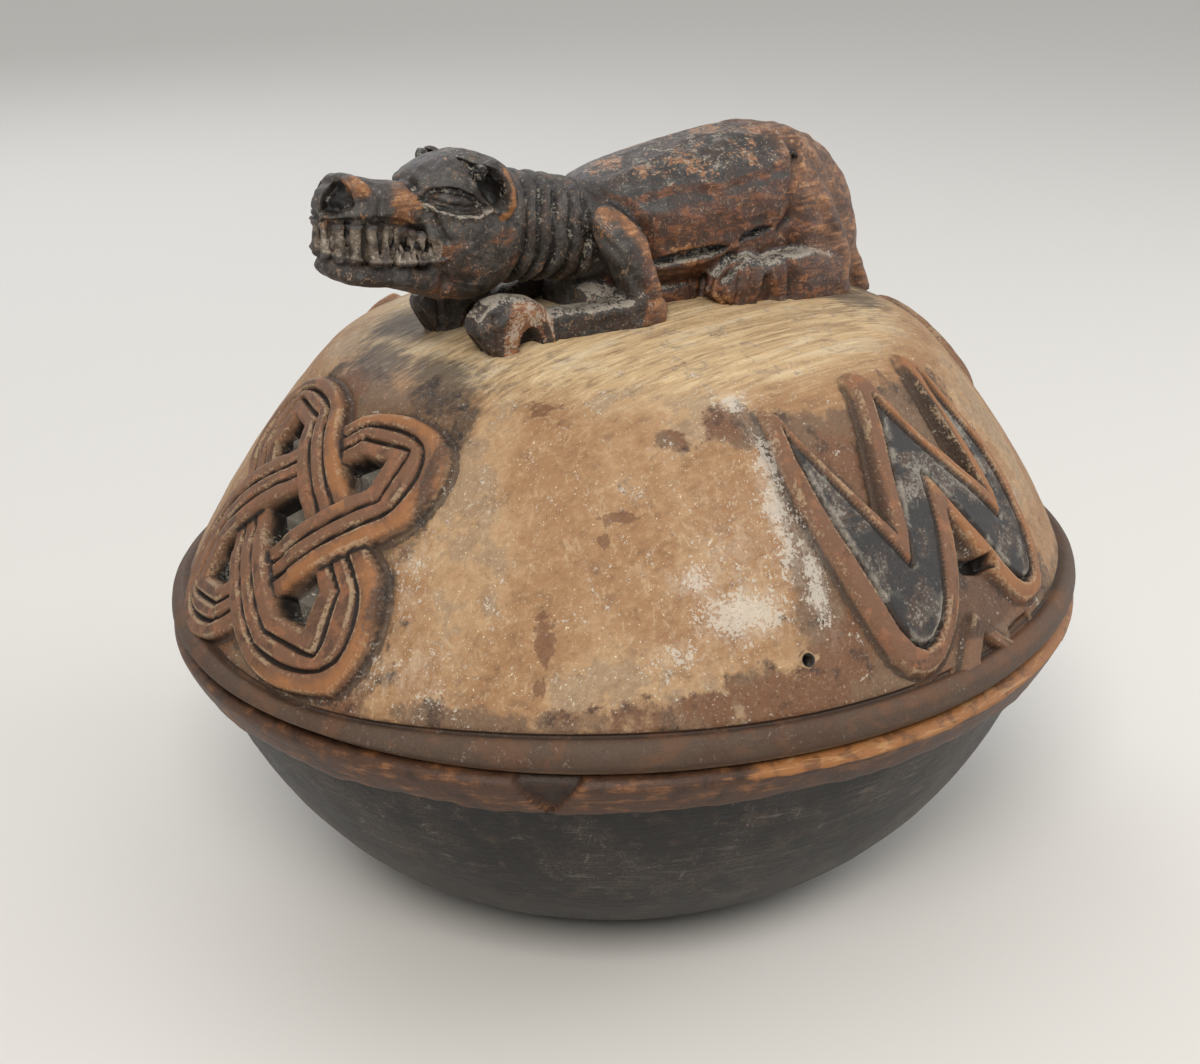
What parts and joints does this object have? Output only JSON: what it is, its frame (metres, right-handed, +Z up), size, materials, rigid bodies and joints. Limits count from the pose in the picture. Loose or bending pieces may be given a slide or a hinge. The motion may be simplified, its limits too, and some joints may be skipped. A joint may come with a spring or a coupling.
{
  "type": "lidded divination box",
  "caption": "Oval carved wooden divination box: dark round-bottomed bowl and domed tan lid with a lying animal, a woven knot and a zigzag in relief.",
  "frame": {"origin": "middle of the bowl's flat foot, on the surface that the box stands on", "axes": "+X along the long axis of the oval from the animal's head toward its rump, +Y across it, +Z up"},
  "size_m": [0.324, 0.298, 0.2537],
  "materials": {
    "blackened_wood": "carved hardwood, blackened and worn, matt to satin",
    "worn_tan_wood": "carved hardwood, rubbed tan with dark patina and pale deposits"
  },
  "bodies": {
    "bowl": {"bowl": "blackened_wood"},
    "lid": {"lid": "worn_tan_wood"}
  },
  "joints": [
    {"name": "lid_lift", "type": "slide", "parent": "bowl", "child": "lid", "axis": [0, 0, 1], "range_m": [0, 0.15]}
  ]
}
